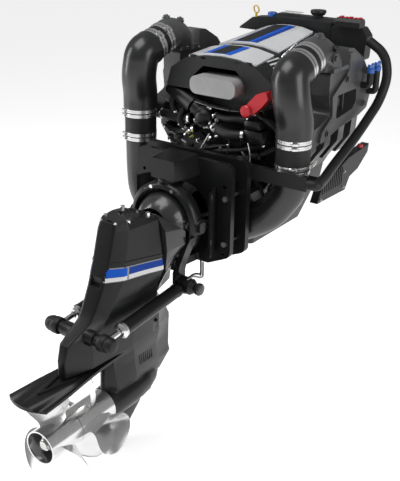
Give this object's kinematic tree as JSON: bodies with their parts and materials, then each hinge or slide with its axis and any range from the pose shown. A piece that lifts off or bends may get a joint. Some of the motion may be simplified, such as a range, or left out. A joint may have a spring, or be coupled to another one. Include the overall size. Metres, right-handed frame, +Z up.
{
  "type": "stern drive",
  "caption": "Marine inboard engine with transom assembly and a steerable, tilting drive leg that carries twin contra-rotating propellers.",
  "frame": {"origin": "crankshaft line at the inboard face of the boat's transom, where the inner transom plate beds; centre of the four transom bolt holes", "axes": "+X starboard, +Y forward into the boat along the crankshaft, +Z up"},
  "size_m": [0.8878, 1.657, 1.3923],
  "materials": {
    "drive_paint": "satin",
    "engine_paint": "satin",
    "manifold_paint": "satin",
    "moulded_black": "matte",
    "panel_silver": "gloss",
    "stainless": "polished",
    "zinc_steel": "satin",
    "hose_rubber": "matte",
    "red_plastic": "gloss",
    "blue_plastic": "gloss"
  },
  "bodies": {
    "transom_and_engine": {"alternator": "engine_paint", "control_box": "moulded_black", "cover_panels": "panel_silver", "cylinder_head_port": "engine_paint", "cylinder_head_starboard": "engine_paint", "engine_block": "engine_paint", "engine_cover": "moulded_black", "exhaust_elbow_port": "engine_paint", "exhaust_elbow_starboard": "engine_paint", "exhaust_manifold_port": "manifold_paint", "exhaust_manifold_starboard": "manifold_paint", "exhaust_y_pipe": "engine_paint", "flame_arrestor": "moulded_black", "flush_hoses": "hose_rubber", "flywheel_housing": "engine_paint", "front_cover": "engine_paint", "fuse_box": "moulded_black", "gimbal_housing": "drive_paint", "heat_exchanger": "moulded_black", "inner_transom_plate": "drive_paint", "intake_plenum": "moulded_black", "lower_hose_port": "hose_rubber", "lower_hose_starboard": "hose_rubber", "oil_filler": "red_plastic", "oil_pan": "engine_paint", "raw_water_hose": "hose_rubber", "riser_elbow_port": "manifold_paint", "riser_elbow_starboard": "manifold_paint", "starter_motor": "engine_paint", "transom_bolts": "zinc_steel", "upper_hose_port": "hose_rubber", "upper_hose_starboard": "hose_rubber", "valve_cover_port": "engine_paint", "valve_cover_starboard": "engine_paint", "water_plugs": "blue_plastic"},
    "gimbal_ring_body": {"gimbal_ring": "drive_paint", "swivel_pins": "stainless", "ring_bolts": "stainless", "trim_front_pins": "moulded_black"},
    "leg": {"bell_housing": "drive_paint", "hinge_pins": "stainless", "driveshaft_housing": "drive_paint", "top_cover": "drive_paint", "cover_bolts": "stainless", "gearcase": "drive_paint", "trim_aft_pin": "moulded_black"},
    "front_wheel": {"front_propeller": "stainless", "outer_prop_shaft": "stainless"},
    "rear_wheel": {"rear_propeller": "stainless", "inner_prop_shaft": "stainless", "propeller_nut": "stainless"},
    "trim_rod_starboard_body": {"trim_rod_starboard": "stainless"},
    "trim_rod_port_body": {"trim_rod_port": "stainless"},
    "trim_barrel_starboard_body": {"trim_barrel_starboard": "drive_paint", "trim_gland_starboard": "stainless"},
    "trim_barrel_port_body": {"trim_barrel_port": "drive_paint", "trim_gland_port": "stainless"},
    "filler_cap": {"coolant_cap": "moulded_black"},
    "crankshaft_end": {"crank_pulley": "zinc_steel"},
    "alternator_rotor": {"alternator_pulley": "zinc_steel"}
  },
  "joints": [
    {"name": "steering", "type": "hinge", "parent": "transom_and_engine", "child": "gimbal_ring_body", "pos_m": [0, -0.165, 0], "axis": [0, 0, 1], "range_deg": [-28, 28]},
    {"name": "trim_tilt", "type": "hinge", "parent": "gimbal_ring_body", "child": "leg", "pos_m": [0, -0.165, 0], "axis": [-1, 0, 0], "range_deg": [-4, 48]},
    {"name": "front_propeller_spin", "type": "hinge", "parent": "leg", "child": "front_wheel", "pos_m": [0, -0.6, -0.577], "axis": [0, 1, 0], "continuous": true},
    {"name": "rear_propeller_spin", "type": "hinge", "parent": "leg", "child": "rear_wheel", "pos_m": [0, -0.75, -0.577], "axis": [0, 1, 0], "continuous": true},
    {"name": "trim_rod_pivot_starboard", "type": "hinge", "parent": "leg", "child": "trim_rod_starboard_body", "pos_m": [0.1, -0.626, -0.256], "axis": [1, 0, 0], "range_deg": [-0.5, 2.5]},
    {"name": "trim_cylinder_slide_starboard", "type": "slide", "parent": "trim_rod_starboard_body", "child": "trim_barrel_starboard_body", "axis": [0, 0.9961, 0.0883], "range_m": [-0.016, 0.18]},
    {"name": "trim_rod_pivot_port", "type": "hinge", "parent": "leg", "child": "trim_rod_port_body", "pos_m": [-0.1, -0.626, -0.256], "axis": [1, 0, 0], "range_deg": [-0.5, 2.5]},
    {"name": "trim_cylinder_slide_port", "type": "slide", "parent": "trim_rod_port_body", "child": "trim_barrel_port_body", "axis": [0, 0.9961, 0.0883], "range_m": [-0.016, 0.18]},
    {"name": "crankshaft_spin", "type": "hinge", "parent": "transom_and_engine", "child": "crankshaft_end", "pos_m": [0, 0.74, 0], "axis": [0, 1, 0], "continuous": true},
    {"name": "alternator_spin", "type": "hinge", "parent": "transom_and_engine", "child": "alternator_rotor", "pos_m": [0.246, 0.74, 0.5], "axis": [0, 1, 0], "continuous": true},
    {"name": "coolant_cap_turn", "type": "hinge", "parent": "transom_and_engine", "child": "filler_cap", "pos_m": [0.092, 0.698, 0.62], "axis": [0, 0, 1], "range_deg": [0, 90]}
  ],
  "couplings": [
    {"joint": "rear_propeller_spin", "follows": "front_propeller_spin", "ratio": -1},
    {"joint": "trim_rod_pivot_starboard", "follows": "trim_tilt", "ratio": 0.0407},
    {"joint": "trim_cylinder_slide_starboard", "follows": "trim_tilt", "m_per_rad": 0.2135},
    {"joint": "trim_rod_pivot_port", "follows": "trim_tilt", "ratio": 0.0407},
    {"joint": "trim_cylinder_slide_port", "follows": "trim_tilt", "m_per_rad": 0.2135},
    {"joint": "alternator_spin", "follows": "crankshaft_spin", "ratio": 2.4706}
  ]
}
